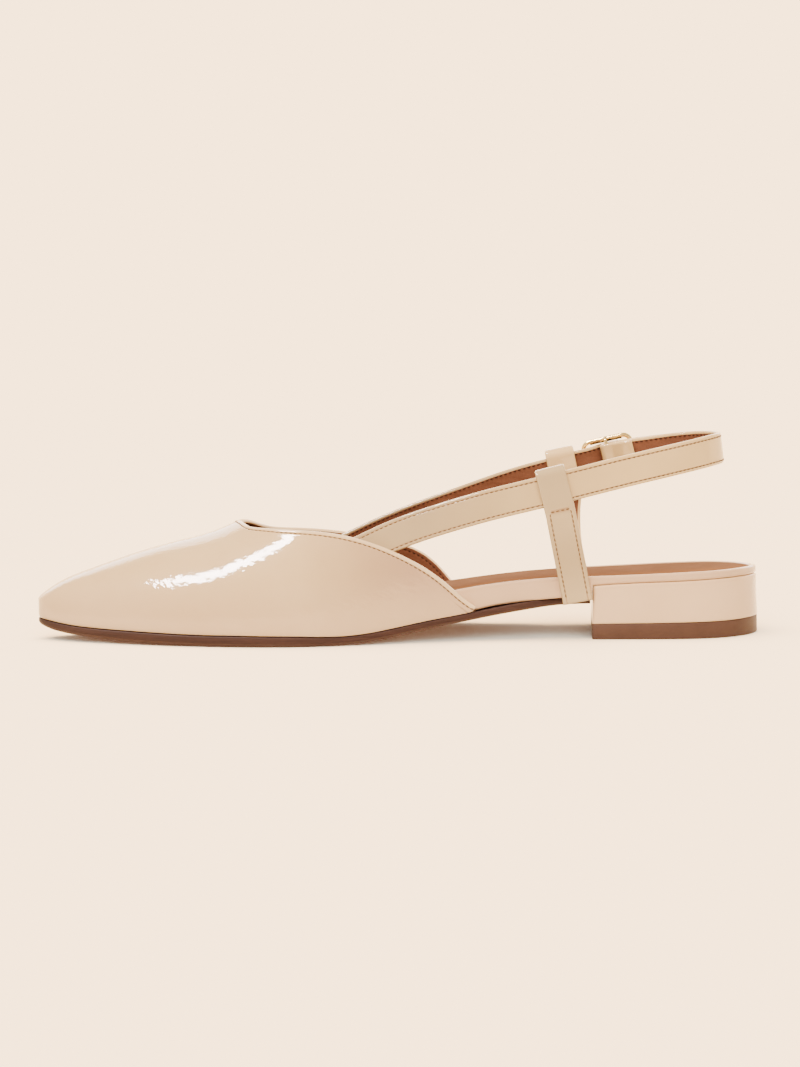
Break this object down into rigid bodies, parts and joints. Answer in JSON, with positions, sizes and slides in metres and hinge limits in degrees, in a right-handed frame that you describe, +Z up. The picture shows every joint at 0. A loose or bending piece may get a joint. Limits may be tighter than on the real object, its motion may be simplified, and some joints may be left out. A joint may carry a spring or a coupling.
{
  "type": "shoe",
  "caption": "Low-heeled sling back flat with a closed pointed toe, a heel strap held by side loops, and a buckled front strap on the outer side.",
  "frame": {"origin": "middle of the outer size seen from above, on the floor", "axes": "+X from the toe towards the heel, +Y towards the outer (lateral) side of the foot, +Z up from the floor"},
  "size_m": [0.2688, 0.0792, 0.0739],
  "materials": {
    "outsole": "smooth brown sole leather",
    "heel": "cream patent leather cover",
    "top_piece": "brown heel tip",
    "footbed": "cream patent leather wrapped over the insole board",
    "sock": "soft matte tan leather",
    "vamp": "cream patent leather",
    "upright_medial": "cream patent leather",
    "upright_lateral": "cream patent leather",
    "heel_strap": "cream patent leather",
    "front_strap": "cream patent leather",
    "buckle_frame": "polished pale gold plating",
    "buckle_prong": "polished pale gold plating"
  },
  "bodies": {
    "root": {"outsole": "outsole", "heel": "heel", "top_piece": "top_piece", "footbed": "footbed", "sock": "sock", "vamp": "vamp", "upright_medial": "upright_medial", "upright_lateral": "upright_lateral", "heel_strap": "heel_strap", "front_strap": "front_strap", "buckle_frame": "buckle_frame", "buckle_prong": "buckle_prong"}
  },
  "joints": []
}
